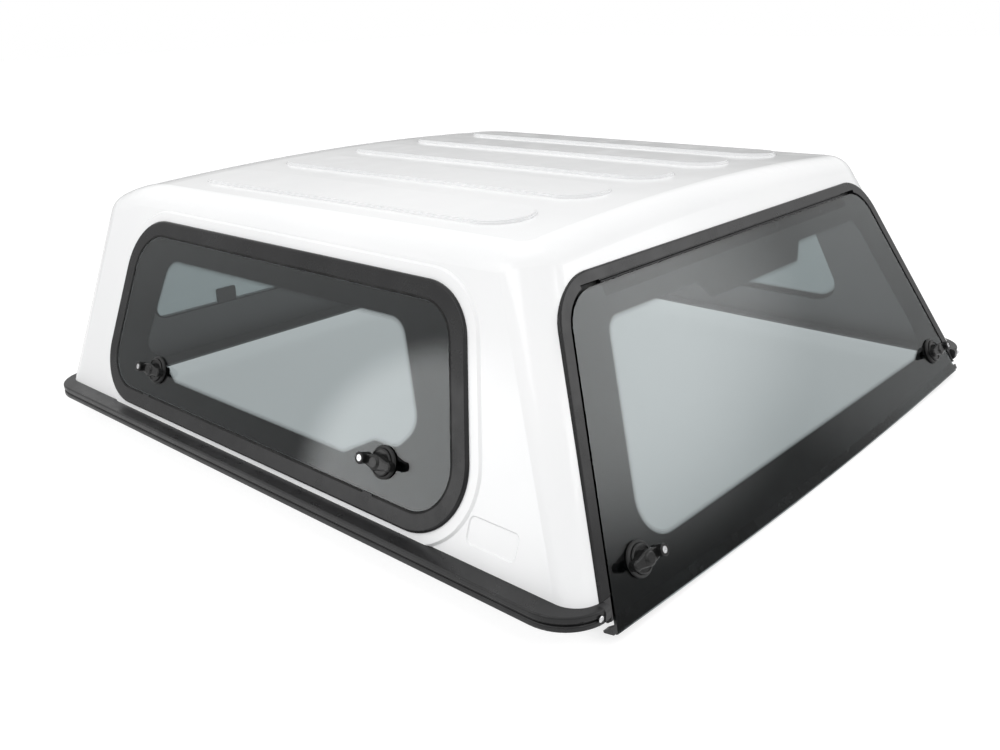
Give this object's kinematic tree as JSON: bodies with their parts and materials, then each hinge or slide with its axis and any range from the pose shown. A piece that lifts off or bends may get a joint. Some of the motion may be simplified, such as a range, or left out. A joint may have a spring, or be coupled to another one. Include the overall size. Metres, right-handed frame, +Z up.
{
  "type": "pickup truck canopy",
  "caption": "White moulded canopy for a pickup truck's tub with ribbed roof, framed side windows, and a frameless lift-up rear door with T-handle locks.",
  "frame": {"origin": "centre of the bottom of the whole canopy's box, under the middle of its base; the rear door's glass reaches lowest", "axes": "+X to the vehicle's right, +Y forward towards the cab, +Z up"},
  "size_m": [1.649, 1.657, 0.5706],
  "materials": {
    "shell": "gloss white moulding",
    "rail_rubber": "satin black",
    "seal_rubber": "matte black",
    "black_plastic": "fine grain black",
    "black_metal": "satin black powder coat",
    "lock_black": "satin black",
    "tinted_glass": "grey tint, dark printed border",
    "key_steel": "bright"
  },
  "bodies": {
    "canopy": {"front_window_catch": "black_plastic", "front_window_frame": "black_metal", "front_window_glass_left": "tinted_glass", "front_window_glass_right": "tinted_glass", "rail_cap_left": "black_plastic", "rail_cap_right": "black_plastic", "rail_front": "rail_rubber", "rail_left": "rail_rubber", "rail_right": "rail_rubber", "rear_frame": "black_metal", "rear_frame_foot_left": "black_plastic", "rear_frame_foot_right": "black_plastic", "rear_seal": "seal_rubber", "shell": "shell", "side_frame_left": "black_metal", "side_frame_right": "black_metal", "side_glass_left": "tinted_glass", "side_glass_right": "tinted_glass", "side_lock_left_front_base": "lock_black", "side_lock_left_rear_base": "lock_black", "side_seal_left": "seal_rubber", "side_seal_right": "seal_rubber"},
    "rear_door": {"rear_bulb_seal": "seal_rubber", "rear_glass": "tinted_glass", "rear_hinge_channel": "black_metal", "rear_lock_left_base": "lock_black", "rear_lock_right_base": "lock_black", "rear_sill": "black_metal", "rear_sill_end_left": "black_plastic", "rear_sill_end_right": "black_plastic"},
    "rear_lock_left_handle": {"rear_lock_left_handle": "lock_black", "rear_lock_left_key": "key_steel"},
    "rear_lock_right_handle": {"rear_lock_right_handle": "lock_black", "rear_lock_right_key": "key_steel"},
    "side_lock_left_front_handle": {"side_lock_left_front_handle": "lock_black", "side_lock_left_front_key": "key_steel"},
    "side_lock_left_rear_handle": {"side_lock_left_rear_handle": "lock_black", "side_lock_left_rear_key": "key_steel"}
  },
  "joints": [
    {"name": "rear_door_hinge", "type": "hinge", "parent": "canopy", "child": "rear_door", "pos_m": [0, -0.58911, 0.46922], "axis": [-1, 0, 0], "range_deg": [0, 80]},
    {"name": "rear_lock_left_turn", "type": "hinge", "parent": "rear_door", "child": "rear_lock_left_handle", "pos_m": [-0.628, -0.78753, 0.08468], "axis": [0, -0.8944, 0.4472], "range_deg": [0, 90]},
    {"name": "rear_lock_right_turn", "type": "hinge", "parent": "rear_door", "child": "rear_lock_right_handle", "pos_m": [0.628, -0.78753, 0.08468], "axis": [0, -0.8944, 0.4472], "range_deg": [0, 90]},
    {"name": "side_lock_left_front_turn", "type": "hinge", "parent": "canopy", "child": "side_lock_left_front_handle", "pos_m": [-0.75764, 0.40553, 0.16724], "axis": [-0.9385, 0, 0.3452], "range_deg": [0, 90]},
    {"name": "side_lock_left_rear_turn", "type": "hinge", "parent": "canopy", "child": "side_lock_left_rear_handle", "pos_m": [-0.75764, -0.34147, 0.16724], "axis": [-0.9385, 0, 0.3452], "range_deg": [0, 90]}
  ]
}
